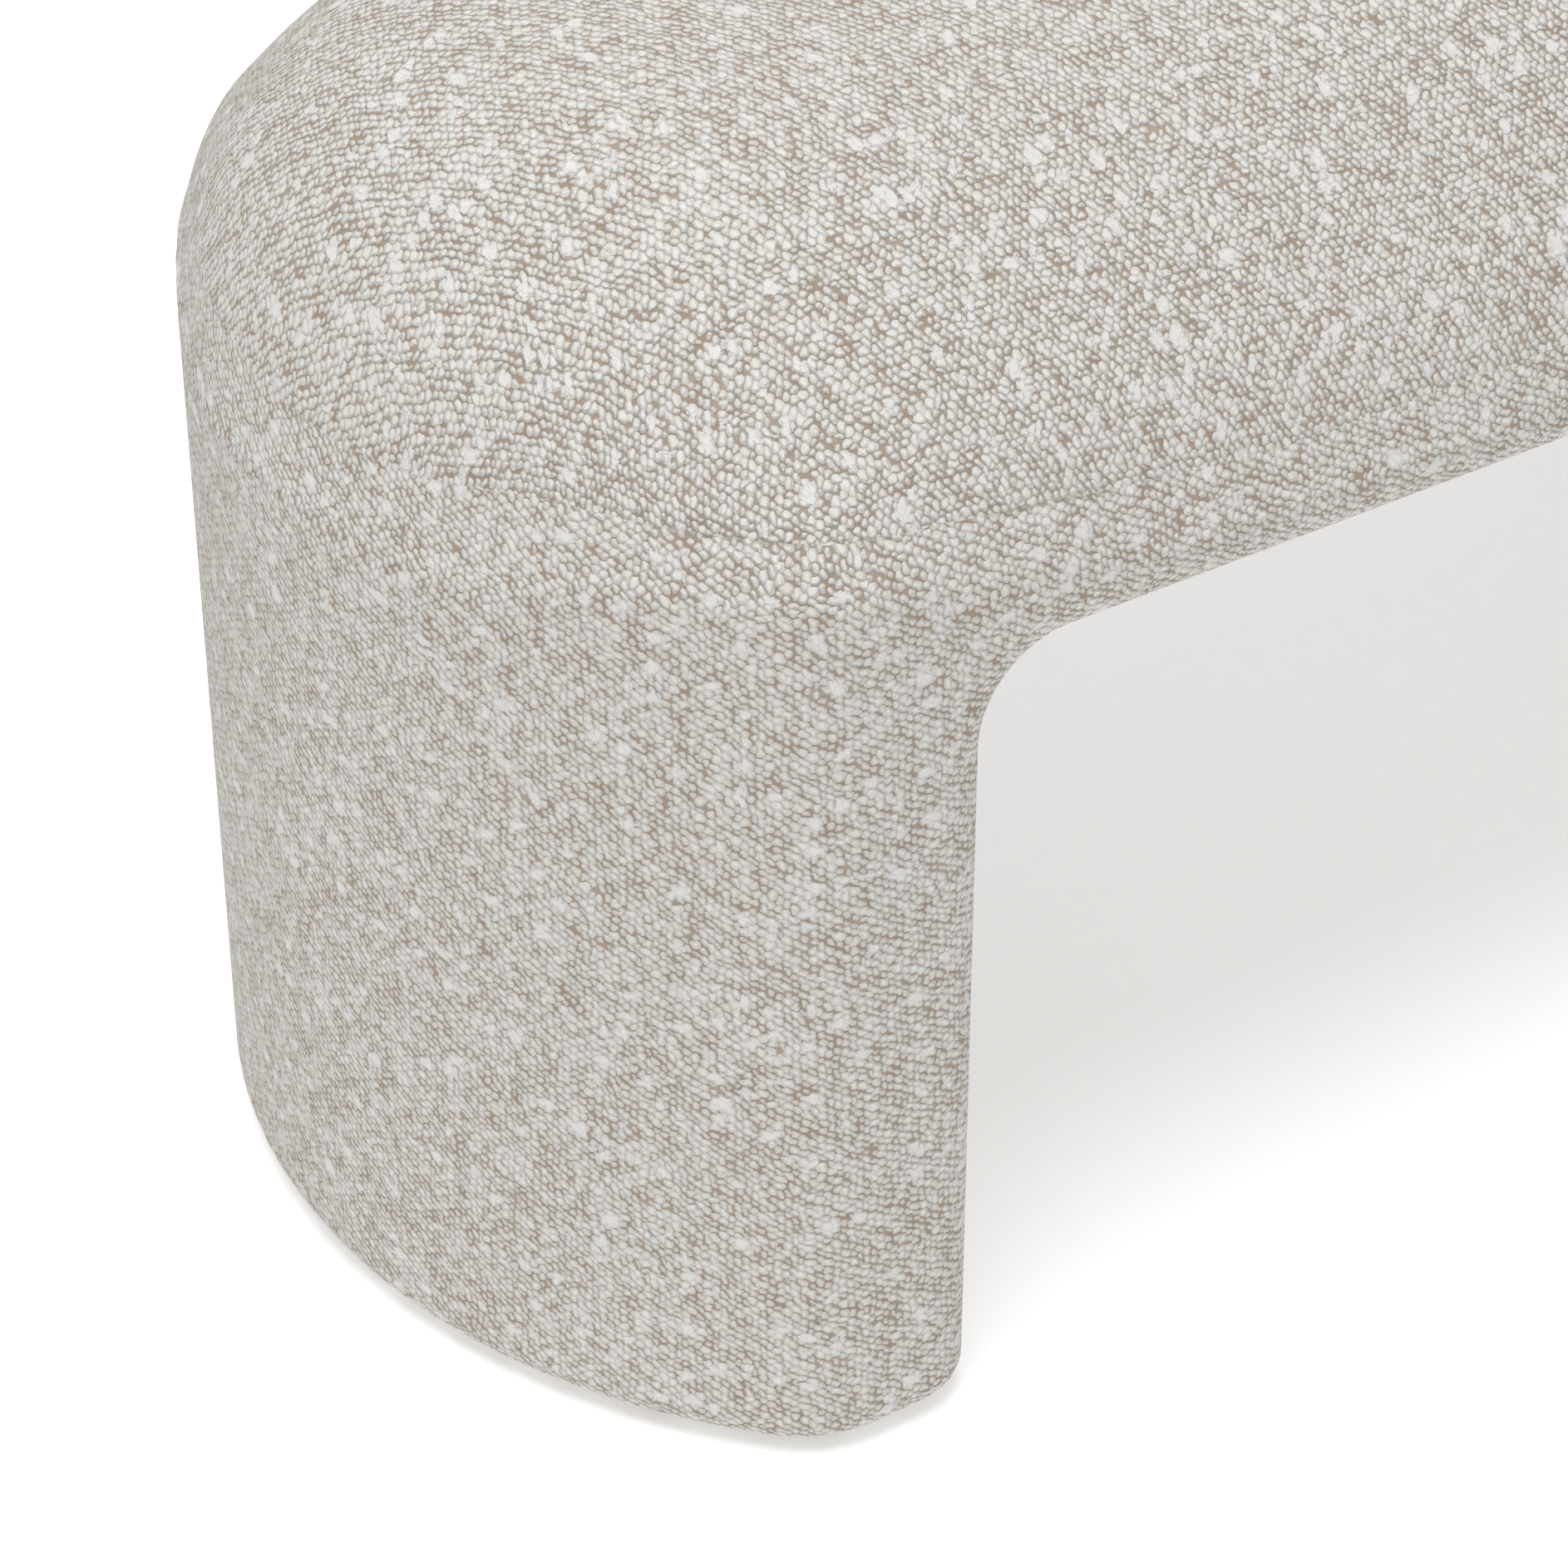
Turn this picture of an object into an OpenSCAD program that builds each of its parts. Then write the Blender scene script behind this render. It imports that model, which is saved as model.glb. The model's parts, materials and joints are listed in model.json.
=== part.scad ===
// Upholstered waterfall bench: a seat frame on two slab legs, wrapped in one layer of thick cloth.
// X runs along the bench, Y from front to back, Z up. The origin is on the floor, under the middle.

/* [Bench] */
// Overall length
bench_l = 1200; // [900:10:1800]
// Overall depth
bench_d = 400; // [330:5:480]
// Height of the seat at its crown
seat_h = 475; // [440:5:560]
// Radius of the bowed ends, in plan
end_r = 265; // [260:5:400]
// Radius of the corners between the ends and the long sides
corner_r = 50; // [30:5:60]

/* [Legs and arch] */
// Thickness of a slab leg along the bench
leg_w = 160; // [130:5:220]
// Height of the opening under the seat
opening_h = 305; // [250:5:330]
// Radius where a leg meets the underside
arch_r = 28; // [20:1:60]
// Width left to foam at the front and rear edges of the opening, where the cloth turns in
edge_foam_w = 28; // [24:1:45]

/* [Seat cushion] */
// Height of the seam between top cover and side cover
seam_h = 364; // [360:1:376]
// How full the edge of the cushion is: lower is squarer
edge_fullness = 1.05; // [0.5:0.05:1.2]
// How flat the middle of the crown is: higher is flatter
crown_power = 2.8; // [1.6:0.1:4]

/* [Upholstery layers] */
// Thickness of the cloth
cloth_t = 2.5; // [1.5:0.1:4]
// Thickness of the foam round the legs and aprons
wrap_t = 10; // [6:1:16]
// Thickness of the wadding under the arch lining
arch_wadding_t = 2.5; // [1:0.5:4]
// Thickness of the wadding over the seat foam
wadding_t = 8; // [4:1:12]
// Slack between soft layers
soft_gap = 0.5; // [0.3:0.1:1]
// Width of the hem turned under each leg
hem_w = 32; // [28:1:36]
// How far the dust cover's edge is set in under a leg
dust_set_in = 16; // [14:1:20]
// Thickness of the dust cover
dust_t = 0.8; // [0.5:0.1:1.5]

/* [Timber] */
// Height of the seat rails
rail_h = 40; // [36:1:50]
// Thickness of the seat rails, end ribs and cross rails
rail_t = 20; // [16:1:26]
// Number of cross rails
cross_rails = 4; // [2:1:6]
// Thickness of the seat deck
deck_t = 12; // [9:1:18]
// How far the deck's edge is set in from the rails
deck_set_in = 4; // [2:1:8]
// Thickness of the underside board
board_t = 4; // [3:1:6]
// Thickness of the leg plates
plate_t = 15; // [12:1:22]
// Thickness of the inner panels
panel_t = 12; // [9:1:18]
// Thickness of the bent end skins
skin_t = 6; // [4:1:9]
// Width of the square leg posts
post_w = 35; // [25:1:40]
// Length of the rail splice blocks
splice_l = 80; // [60:1:120]
// Height of the rail splice blocks
splice_h = 34; // [28:1:36]

/* [Fixings] */
// Diameter of a glide
glide_d = 25; // [18:1:35]
// Height of a glide
glide_h = 4.7; // [3:0.1:8]
// Distance of the glides from the edge of the leg
glide_inset = 45; // [40:1:60]
// Diameter of the wood screws
screw_d = 4; // [3:0.5:5]
// Diameter of the heads of the wood screws
screw_head_d = 8; // [6:0.5:10]
// Diameter of the leg bolts
bolt_d = 8; // [6:1:10]
// Width of a staple
staple_w = 10; // [6:1:12]
// Thickness of the staple wire
staple_t = 0.6; // [0.5:0.1:1]

/* [Hidden] */
$fn = 96;
SIDES = ["left", "right"];
RAIL_NAMES = [for (i = [1 : cross_rails]) str("cross_rail_", i)];
LEG_PIECES = ["base_plate", "top_plate", "inner_panel", "end_skin", "front_post", "rear_post",
              "nose_post", "fillet_block", "fillet_foam", "end_rib", "leg_bolts", "wrap_foam", "dust_cover",
              "staples", "glides", "glide_nails"];

half_l = bench_l / 2;
half_d = bench_d / 2;
// Corner circles touch both the long sides and the end circle
corner_y = half_d - corner_r;
corner_x = end_r - sqrt(pow(end_r - corner_r, 2) - pow(corner_y, 2));
corner_angle = asin(corner_y / (end_r - corner_r));

// Insets of the layers from the outside of the cloth
foam_inset = cloth_t + soft_gap;
frame_inset = cloth_t + wrap_t;
plate_inset = frame_inset + skin_t;
lining_inset = cloth_t + arch_wadding_t;

// Heights, from the floor up
dust_z = glide_h;
hem_z = dust_z + dust_t;
base_z = hem_z + cloth_t;
board_z = opening_h + lining_inset;
rail_z = board_z + board_t;
deck_z = rail_z + rail_h;
foam_z = deck_z + deck_t;

panel_x = leg_w - lining_inset;
plate_x = panel_x - panel_t;
panel_w = bench_d - 2 * edge_foam_w;
cross_span = bench_l - 2 * (leg_w + splice_l / 2);
cross_step = (cross_span - rail_t) / (cross_rails - 1);
rib_mid_inset = (plate_inset + frame_inset + rail_t) / 2;

// Fixing lengths and counts
screw_l = 32;
splice_screw_l = 35;
bolt_l = 45;
bolt_head_h = 5.3;
bolt_end_angle = 24;
nail_d = 2.5;
nail_head_d = 8;
nail_l = 14;
glide_angle = 22;
glide_chamfer = 1;
staple_l = 8;
staple_inset = dust_set_in + 7;
staple_pitch = 45;
deck_screw_pitch = 160;
rib_screw_angle = 30;
nail_head_t = 1.2;

// Below this radius a slice's corners are square
least_corner_r = 8;
// Half the number of flats round the bow of such a slice
bow_steps = 8;

// Where the cushion is sliced, as shares of the way in to the middle
crown_steps = [0.03, 0.08, 0.16, 0.27, 0.4, 0.55, 0.72, 0.9];

// Half-depth of the footprint set in from its edge, x millimetres in from the bench's end
function edge_y(x, inset) =
    x > corner_x ? half_d - inset
    : x > end_point(inset, corner_angle)[0]
        ? corner_y + sqrt(pow(corner_r - inset, 2) - pow(corner_x - x, 2))
    : sqrt(pow(end_r - inset, 2) - pow(end_r - x, 2));

// A point on the bowed end, set in from the edge, at an angle from the bench's centre line
function end_point(inset, angle) =
    [end_r - (end_r - inset) * cos(angle), (end_r - inset) * sin(angle)];

// Evenly spread numbers from low to high, no further apart than step
function spread(low, high, step) =
    let (n = max(1, ceil((high - low) / step))) [for (i = [0 : n]) low + i * (high - low) / n];

// One side's pieces are drawn with X running in from the left end
module at_side(side) {
    mirror([side == "right" ? 1 : 0, 0, 0]) translate([-half_l, 0, 0]) children();
}

// Bowed end of the footprint, with X running in from the end
module end_shape(inset, end_fn, corner_fn) {
    reach = end_r * 1.5;
    intersection() {
        translate([end_r, 0]) circle(end_r - inset, $fn = end_fn);
        polygon([[end_r, 0],
                 [end_r - reach * cos(corner_angle), reach * sin(corner_angle)],
                 [-reach, reach * sin(corner_angle)],
                 [-reach, -reach * sin(corner_angle)],
                 [end_r - reach * cos(corner_angle), -reach * sin(corner_angle)]]);
    }
    for (y = [-corner_y, corner_y])
        translate([corner_x, y]) circle(corner_r - inset, $fn = corner_fn);
}

// Outline of the bench in plan
module footprint(inset, end_fn = 96, corner_fn = 96) {
    for (side = [0, 1])
        mirror([side, 0]) translate([-half_l, 0]) end_shape(inset, end_fn, corner_fn);
    translate([-half_l + corner_x, -half_d + inset])
        square([bench_l - 2 * corner_x, bench_d - 2 * inset]);
}

// Outline of one leg in plan, with X running in from the end
module leg_outline(inset, x_max) {
    intersection() {
        union() {
            end_shape(inset, 96, 96);
            translate([corner_x, -half_d + inset]) square([x_max, bench_d - 2 * inset]);
        }
        translate([0, -half_d]) square([x_max, bench_d]);
    }
}

// Upright slab of a 2D outline
module slab(z0, z1) {
    translate([0, 0, z0]) linear_extrude(z1 - z0) children();
}

// Prism of the arch opening, grown outwards, as deep as given
module arch_prism(grow, depth) {
    x = half_l - leg_w + grow;
    top = opening_h + grow;
    r = arch_r + grow;
    translate([0, depth / 2, 0]) rotate([90, 0, 0]) linear_extrude(depth) {
        translate([-x, -1]) square([2 * x, top - r + 1]);
        translate([-x + r, -1]) square([2 * (x - r), top + 1]);
        for (s = [-1, 1]) translate([s * (x - r), top - r]) circle(r);
    }
}

// Countersunk wood screw, head at the origin, pointing down
module screw(length) {
    rotate_extrude()
        polygon([[0, 0], [0, -length], [screw_d / 2, -length + screw_d], [screw_d / 2, -screw_d / 2],
                 [screw_head_d / 2, 0]]);
}

// ---- Seat frame ----

module deck_screw_set() {
    rail_mid_inset = frame_inset + rail_t / 2;
    last_x = half_l - leg_w - splice_l / 4;
    translate([0, 0, foam_z]) {
        for (x = spread(-last_x, last_x, deck_screw_pitch)) for (s = [-1, 1])
            translate([x, s * (half_d - rail_mid_inset)]) screw(screw_l);
        for (side = SIDES) at_side(side) for (angle = [-rib_screw_angle, 0, rib_screw_angle])
            translate(end_point(rail_mid_inset, angle)) screw(screw_l);
    }
}

module rail_screw_set() {
    for (i = [1 : cross_rails]) for (s = [-1, 1]) for (z = [0.25, 0.75])
        translate([cross_x(i) + rail_t / 2, s * (half_d - frame_inset), rail_z + z * rail_h])
            rotate([-s * 90, 0, 0]) screw(splice_screw_l);
}

module splice_screw_set() {
    for (sx = [-1, 1]) for (sy = [-1, 1]) for (dx = [-0.3, 0.3])
        translate([sx * (half_l - leg_w) + dx * splice_l,
                   sy * (half_d - frame_inset - 2 * rail_t),
                   rail_z + splice_h / 2])
            rotate([sy * 90, 0, 0]) screw(splice_screw_l);
}

function cross_x(i) = -cross_span / 2 + (i - 1) * cross_step;

module seat_deck() {
    color("burlywood") difference() {
        slab(deck_z, foam_z) footprint(frame_inset + deck_set_in);
        deck_screw_set();
    }
}

module long_rail(s) {
    color("tan") difference() {
        translate([-half_l + leg_w, s * (half_d - frame_inset - rail_t / 2) - rail_t / 2, rail_z])
            cube([bench_l - 2 * leg_w, rail_t, rail_h]);
        deck_screw_set();
        rail_screw_set();
        splice_screw_set();
    }
}

module cross_rail(i) {
    color("tan") difference() {
        translate([cross_x(i), -half_d + frame_inset + rail_t, rail_z])
            cube([rail_t, bench_d - 2 * (frame_inset + rail_t), rail_h]);
        rail_screw_set();
    }
}

module splice_blocks() {
    color("peru") difference() {
        slab(rail_z, rail_z + splice_h) intersection() {
            footprint(frame_inset + rail_t);
            for (sx = [-1, 1]) for (sy = [-1, 1])
                translate([sx * (half_l - leg_w), sy * (half_d - frame_inset - 1.5 * rail_t)])
                    square([splice_l, rail_t], center = true);
        }
        splice_screw_set();
    }
}

module underside_board() {
    color("burlywood")
        translate([-half_l + panel_x, -half_d + frame_inset, board_z])
            cube([bench_l - 2 * panel_x, bench_d - 2 * frame_inset, board_t]);
}

module end_rib(side) {
    color("tan") difference() {
        at_side(side) slab(rail_z, deck_z) difference() {
            leg_outline(frame_inset, leg_w);
            leg_outline(frame_inset + rail_t, leg_w + 1);
        }
        deck_screw_set();
        splice_screw_set();
        leg_bolts(side);
    }
}

// ---- Slab legs ----

module staple_at(x, y, angle) {
    translate([x, y, dust_z]) rotate([0, 0, angle]) {
        translate([-staple_w / 2, -staple_t, -staple_t]) cube([staple_w, 2 * staple_t, staple_t]);
        for (s = [-1, 1])
            translate([s * (staple_w - staple_t) / 2 - staple_t / 2, -staple_t, -staple_t])
                cube([staple_t, 2 * staple_t, staple_l + dust_t + staple_t]);
    }
}

module staples(side) {
    bow = corner_angle - 3;
    pitch_angle = staple_pitch / end_r * 180 / PI;
    inner_y = half_d - hem_w - staple_w;
    color("silver") at_side(side) {
        for (angle = spread(-bow, bow, pitch_angle))
            staple_at(end_point(staple_inset, angle)[0], end_point(staple_inset, angle)[1], 90 - angle);
        for (y = spread(-inner_y, inner_y, staple_pitch))
            staple_at(leg_w - staple_inset, y, 90);
    }
}

function glide_places() = concat(
    [for (s = [-1, 1]) end_point(glide_inset, s * glide_angle)],
    [for (s = [-1, 1]) [leg_w - glide_inset, s * (half_d - glide_inset)]]);

module glide_nails(side) {
    head_z = (glide_h - nail_head_t) / 2;
    color("silver") at_side(side) for (place = glide_places())
        translate([place[0], place[1], 0])
            rotate_extrude()
                polygon([[0, head_z], [nail_head_d / 2, head_z],
                         [nail_head_d / 2, head_z + nail_head_t], [nail_d / 2, head_z + nail_head_t],
                         [nail_d / 2, glide_h + nail_l - nail_d], [0, glide_h + nail_l]]);
}

module glides(side) {
    color("dimgray") difference() {
        at_side(side) for (place = glide_places())
            translate([place[0], place[1], 0])
                rotate_extrude()
                    polygon([[0, 0], [glide_d / 2 - glide_chamfer, 0], [glide_d / 2, glide_chamfer],
                             [glide_d / 2, glide_h], [0, glide_h]]);
        glide_nails(side);
    }
}

module dust_cover(side) {
    color("black") difference() {
        at_side(side) slab(dust_z, hem_z) leg_outline(dust_set_in, leg_w - dust_set_in);
        glide_nails(side);
        staples(side);
    }
}

module base_plate(side) {
    color("burlywood") difference() {
        at_side(side) slab(base_z, base_z + plate_t) leg_outline(plate_inset, plate_x);
        glide_nails(side);
        staples(side);
    }
}

// A leg bolt stands in each corner and in two places on the bow
module leg_bolts(side) {
    bolt_x = plate_x - post_w - bolt_d;
    places = concat(
        [for (s = [-1, 1]) end_point(rib_mid_inset, s * bolt_end_angle)],
        [for (s = [-1, 1]) [bolt_x, s * edge_y(bolt_x, rib_mid_inset)]]);
    color("silver") at_side(side) for (place = places)
        translate([place[0], place[1], rail_z - plate_t]) {
            translate([0, 0, -bolt_head_h]) cylinder(d = bolt_d * 1.8, h = bolt_head_h, $fn = 6);
            cylinder(d = bolt_d, h = bolt_l);
        }
}

module top_plate(side) {
    color("burlywood") difference() {
        at_side(side) slab(rail_z - plate_t, rail_z) leg_outline(plate_inset, plate_x);
        leg_bolts(side);
    }
}

module inner_panel(side) {
    color("burlywood") at_side(side)
        translate([plate_x, -panel_w / 2, base_z]) cube([panel_t, panel_w, rail_z - base_z]);
}

module end_skin(side) {
    color("wheat") at_side(side) slab(base_z, rail_z) difference() {
        leg_outline(frame_inset, plate_x);
        leg_outline(plate_inset, plate_x + 1);
    }
}

// A post between the plates, shaped to the bend of the skin where it meets it
module post(side) {
    color("tan") at_side(side) slab(base_z + plate_t, rail_z - plate_t) intersection() {
        leg_outline(plate_inset, plate_x);
        children();
    }
}

module corner_post(side, s) {
    post(side) translate([plate_x - post_w / 2, s * (half_d - plate_inset - post_w / 2)])
        square(post_w, center = true);
}

module nose_post(side) {
    post(side) translate([0, -post_w / 2]) square([plate_inset + post_w, post_w]);
}

// Concave prism that carries a leg's inner face up into the underside
module fillet_prism(y0, y1) {
    grown_r = arch_r + lining_inset;
    difference() {
        translate([panel_x, y0, opening_h - arch_r])
            cube([grown_r, y1 - y0, board_z - opening_h + arch_r]);
        translate([panel_x + grown_r, 0, opening_h - arch_r]) rotate([90, 0, 0])
            cylinder(r = grown_r, h = bench_d, center = true);
    }
}

module fillet_block(side) {
    color("peru") at_side(side) fillet_prism(-panel_w / 2, panel_w / 2);
}

module fillet_foam(side) {
    color("khaki") at_side(side) {
        fillet_prism(-half_d + foam_inset, -panel_w / 2);
        fillet_prism(panel_w / 2, half_d - foam_inset);
    }
}

// ---- Upholstery ----

module wrap_foam(side) {
    color("khaki") at_side(side) slab(base_z, board_z) difference() {
        leg_outline(foam_inset, panel_x);
        leg_outline(frame_inset, plate_x);
        translate([plate_x, -panel_w / 2]) square([leg_w, panel_w]);
    }
    color("khaki") at_side(side) slab(board_z, seam_h) difference() {
        leg_outline(foam_inset, panel_x);
        leg_outline(frame_inset, leg_w);
    }
}

module apron_foam(s) {
    thick = wrap_t - soft_gap;
    color("khaki")
        translate([-half_l + panel_x, s * (half_d - foam_inset - thick / 2) - thick / 2, board_z])
            cube([bench_l - 2 * panel_x, thick, seam_h - board_z]);
}

module arch_wadding() {
    depth = bench_d - 2 * frame_inset;
    color("white") difference() {
        intersection() {
            arch_prism(lining_inset, depth);
            translate([-half_l, -half_d, base_z]) cube([bench_l, bench_d, rail_z]);
        }
        arch_prism(cloth_t, bench_d);
    }
}

// The crown's height above the seam at a share t of the way in to the middle
function crown_rise(t) = (seat_h - seam_h) * pow(1 - pow(1 - t, crown_power), edge_fullness);

// The share of the way in at which the crown passes a rise above the seam
function crown_share(rise) =
    1 - pow(1 - pow(max(0, rise) / (seat_h - seam_h), 1 / edge_fullness), 1 / crown_power);

// Both ends of a slice of the cushion; its corners close up as it comes in
module slice_ends(inset) {
    r = end_r - inset;
    bow = asin((half_d - inset) / r);
    for (side = [0, 1]) mirror([side, 0]) translate([-half_l, 0])
        if (inset < corner_r - least_corner_r) end_shape(inset, 72, 36);
        else polygon([for (i = [-bow_steps : bow_steps])
            [end_r - r * cos(bow * i / bow_steps), r * sin(bow * i / bow_steps)]]);
}

// Crowned cushion shape above z0: slices that come in and rise to the middle
module cushion(inset, z0) {
    slice_t = 1;
    reach = half_d - inset;
    start = crown_share(z0 - seam_h + inset);
    hull() {
        slab(z0, z0 + slice_t) slice_ends(inset + start * reach);
        for (step = crown_steps) {
            t = start + step * (1 - start);
            z = seam_h - inset + crown_rise(t);
            slab(z - slice_t, z) slice_ends(inset + t * reach);
        }
    }
}

module seat_foam() {
    color("khaki") cushion(foam_inset + wadding_t, foam_z);
}

module seat_wadding() {
    color("white") difference() {
        cushion(foam_inset, foam_z);
        cushion(foam_inset + wadding_t, foam_z - 1);
    }
}

module top_cover() {
    color("linen") difference() {
        cushion(0, seam_h);
        cushion(cloth_t, seam_h - 1);
    }
}

// Cloth turned under one leg, as a frame of the hem's width
module hem_outline() {
    difference() {
        leg_outline(cloth_t, leg_w - cloth_t);
        leg_outline(hem_w, leg_w - hem_w);
    }
}

module side_cover() {
    color("linen") difference() {
        union() {
            slab(hem_z, seam_h) difference() {
                footprint(0);
                footprint(cloth_t);
            }
            for (side = SIDES) at_side(side) slab(hem_z, base_z) hem_outline();
        }
        arch_prism(0, 2 * bench_d);
        for (side = SIDES) {
            staples(side);
            glide_nails(side);
        }
    }
}

module arch_lining() {
    color("linen") difference() {
        intersection() {
            arch_prism(cloth_t, bench_d - 2 * cloth_t);
            translate([-half_l, -half_d, hem_z]) cube([bench_l, bench_d, rail_z]);
        }
        arch_prism(0, bench_d);
    }
}

seat_deck();
long_rail(-1);  // front_rail
long_rail(1);  // rear_rail
splice_blocks();
underside_board();
for (i = [1 : cross_rails])
    cross_rail(i);
color("goldenrod") deck_screw_set();  // deck_screws
color("goldenrod") rail_screw_set();  // rail_screws
color("goldenrod") splice_screw_set();  // splice_screws
for (side = SIDES) {
    base_plate(side);
    top_plate(side);
    inner_panel(side);
    end_skin(side);
    corner_post(side, -1);
    corner_post(side, 1);
    nose_post(side);
    fillet_block(side);
    fillet_foam(side);
    end_rib(side);
    leg_bolts(side);
    wrap_foam(side);
    dust_cover(side);
    staples(side);
    glides(side);
    glide_nails(side);
}
seat_foam();
seat_wadding();
apron_foam(-1);  // front_apron_foam
apron_foam(1);  // rear_apron_foam
arch_wadding();
arch_lining();
side_cover();
top_cover();
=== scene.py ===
"""Upholstered waterfall bench in off-white boucle: covers, inner frame materials and studio."""
import json
import math

import bmesh
import bpy
import numpy as np
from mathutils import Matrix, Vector


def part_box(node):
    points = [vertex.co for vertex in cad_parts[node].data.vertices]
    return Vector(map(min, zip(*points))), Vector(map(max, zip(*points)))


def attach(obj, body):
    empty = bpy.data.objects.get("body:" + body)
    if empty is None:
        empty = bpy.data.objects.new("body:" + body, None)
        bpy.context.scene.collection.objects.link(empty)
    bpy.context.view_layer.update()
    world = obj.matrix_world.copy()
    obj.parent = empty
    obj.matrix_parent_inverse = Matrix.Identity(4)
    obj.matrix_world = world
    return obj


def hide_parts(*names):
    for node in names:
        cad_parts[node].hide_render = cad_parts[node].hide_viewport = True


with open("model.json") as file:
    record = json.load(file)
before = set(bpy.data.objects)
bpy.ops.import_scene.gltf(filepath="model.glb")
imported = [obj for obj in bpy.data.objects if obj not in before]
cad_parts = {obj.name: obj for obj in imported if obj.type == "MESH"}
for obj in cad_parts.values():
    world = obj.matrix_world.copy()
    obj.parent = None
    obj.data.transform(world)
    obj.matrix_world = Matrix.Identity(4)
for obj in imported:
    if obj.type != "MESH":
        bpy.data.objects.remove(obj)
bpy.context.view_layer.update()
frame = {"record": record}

# ---- Sizes, in metres ----

SIDE_LOW, SIDE_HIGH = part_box("side_cover")
TOP_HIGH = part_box("top_cover")[1]
LINING_LOW, LINING_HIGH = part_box("arch_lining")
CLOTH_T = (SIDE_HIGH[1] - SIDE_LOW[1] - LINING_HIGH[1] + LINING_LOW[1]) / 2
HALF_L = SIDE_HIGH[0]
HALF_D = SIDE_HIGH[1]
HEM_Z = SIDE_LOW[2]
SEAM_Z = SIDE_HIGH[2]
SEAT_H = TOP_HIGH[2]
ARCH_HALF = LINING_HIGH[0] - CLOTH_T
ARCH_TOP = LINING_HIGH[2] - CLOTH_T

# The plan of an end: its bow, the corners beside it and the arcs that they make
END_R = 0.265
CORNER_R = 0.050
ARCH_R = 0.028
CORNER_Y = HALF_D - CORNER_R
CORNER_X = END_R - math.sqrt((END_R - CORNER_R) ** 2 - CORNER_Y ** 2)
CORNER_ANGLE = math.asin(CORNER_Y / (END_R - CORNER_R))
END_ARC = END_R * CORNER_ANGLE
CORNER_ARC = CORNER_R * (math.pi / 2 - CORNER_ANGLE)

# Drops and rises of the seam, and how far from the tip each is reached
SEAM_TIP_DROP = 0.005
SEAM_CORNER_RISE = 0.015
SEAM_SIDE_DROP = 0.022
SEAM_CORNER_X = 0.040
SEAM_SIDE_X = (0.060, 0.290)

# The crown falls away at each end over its reach, and its edges are rounded
CROWN_REACH = 0.144
CROWN_POWER = 2.88
CROWN_FULLNESS = 1.06
EDGE_ROLL_R = 0.023
ARCH_EDGE_R = 0.028
HEM_R = 0.010

CELL = 0.006
# Cuts lie on flat faces, so their points move this far at most to reach the body
CUT_SETTLE = 0.0006
# Points further than this share of a cell from their neighbours' middle go back to it
STRAY_SHARE = 0.45
# Wide enough to smooth the shading over the fold at the seam
NORMAL_STEP = 0.003
SLOPE_STEP = 0.002
STEEPEST_CROWN = 2.0
ARC_STEP = 0.001
STEEPEST_ARC = 1.2


# ---- Body shape, as a signed distance in metres ----

def smooth(low, high, value):
    """A share that eases from 0 at low to 1 at high."""
    t = np.clip((value - low) / (high - low), 0.0, 1.0)
    return t * t * (3.0 - 2.0 * t)


def round_max(a, b, radius):
    """Intersection of two solids with its edge rounded to the radius."""
    outside = np.hypot(np.maximum(a + radius, 0.0), np.maximum(b + radius, 0.0))
    return np.minimum(np.maximum(a, b), -radius) + outside


def plan_distance(x, y):
    """Distance outside the footprint: bowed ends, rounded corners and straight sides."""
    along = HALF_L - np.abs(x)
    across = np.abs(y)
    side = across - HALF_D
    bow = np.hypot(along - END_R, across) - END_R
    corner = np.hypot(along - CORNER_X, across - CORNER_Y) - CORNER_R
    angle = np.arctan2(across, END_R - along)
    end = np.where(angle < CORNER_ANGLE, bow, corner)
    return np.where(along < CORNER_X, end, np.where(along < END_R, np.maximum(side, bow), side))


def seam_height(x):
    """Height of the seam: low at the tip, highest at the corners, sagging along the sides."""
    along = HALF_L - np.abs(x)
    rise = SEAM_CORNER_RISE * smooth(0.0, SEAM_CORNER_X, along)
    return SEAM_Z - SEAM_TIP_DROP + rise - SEAM_SIDE_DROP * smooth(*SEAM_SIDE_X, along)


def seat_surface(x, y):
    """Height of the crowned seat: a barrel across the depth that falls away at both ends."""
    across = np.clip(np.abs(y) / HALF_D, 0.0, 1.0)
    bow_x = END_R - np.sqrt(np.maximum(END_R ** 2 - np.minimum(np.abs(y), HALF_D) ** 2, 0.0))
    end = np.clip(1.0 - (HALF_L - np.abs(x) - bow_x) / CROWN_REACH, 0.0, 1.0)
    share = (1.0 - across ** CROWN_POWER) * (1.0 - end ** CROWN_POWER)
    seam = seam_height(x)
    return seam + (SEAT_H - seam) * np.maximum(share, 0.0) ** CROWN_FULLNESS


def arch_distance(x, z):
    """Distance outside the opening under the seat, seen from the front."""
    dx = np.abs(x) - (ARCH_HALF - ARCH_R)
    dz = z - (ARCH_TOP - ARCH_R)
    outside = np.hypot(np.maximum(dx, 0.0), np.maximum(dz, 0.0))
    return outside + np.minimum(np.maximum(dx, dz), 0.0) - ARCH_R


def body_distance(p):
    """Distance outside the whole bench: plan, crown, arch and hem, with rounded edges."""
    x, y, z = p[..., 0], p[..., 1], p[..., 2]
    step = SLOPE_STEP
    top = seat_surface(x, y)
    slope_x = (seat_surface(x + step, y) - seat_surface(x - step, y)) / (2 * step)
    slope_y = (seat_surface(x, y + step) - seat_surface(x, y - step)) / (2 * step)
    steep = np.minimum(np.hypot(slope_x, slope_y), STEEPEST_CROWN)
    crown = (z - top) / np.sqrt(1.0 + steep * steep)
    body = round_max(plan_distance(x, y), crown, EDGE_ROLL_R)
    body = round_max(body, -arch_distance(x, z), ARCH_EDGE_R)
    return round_max(body, HEM_Z - z, HEM_R)


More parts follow.
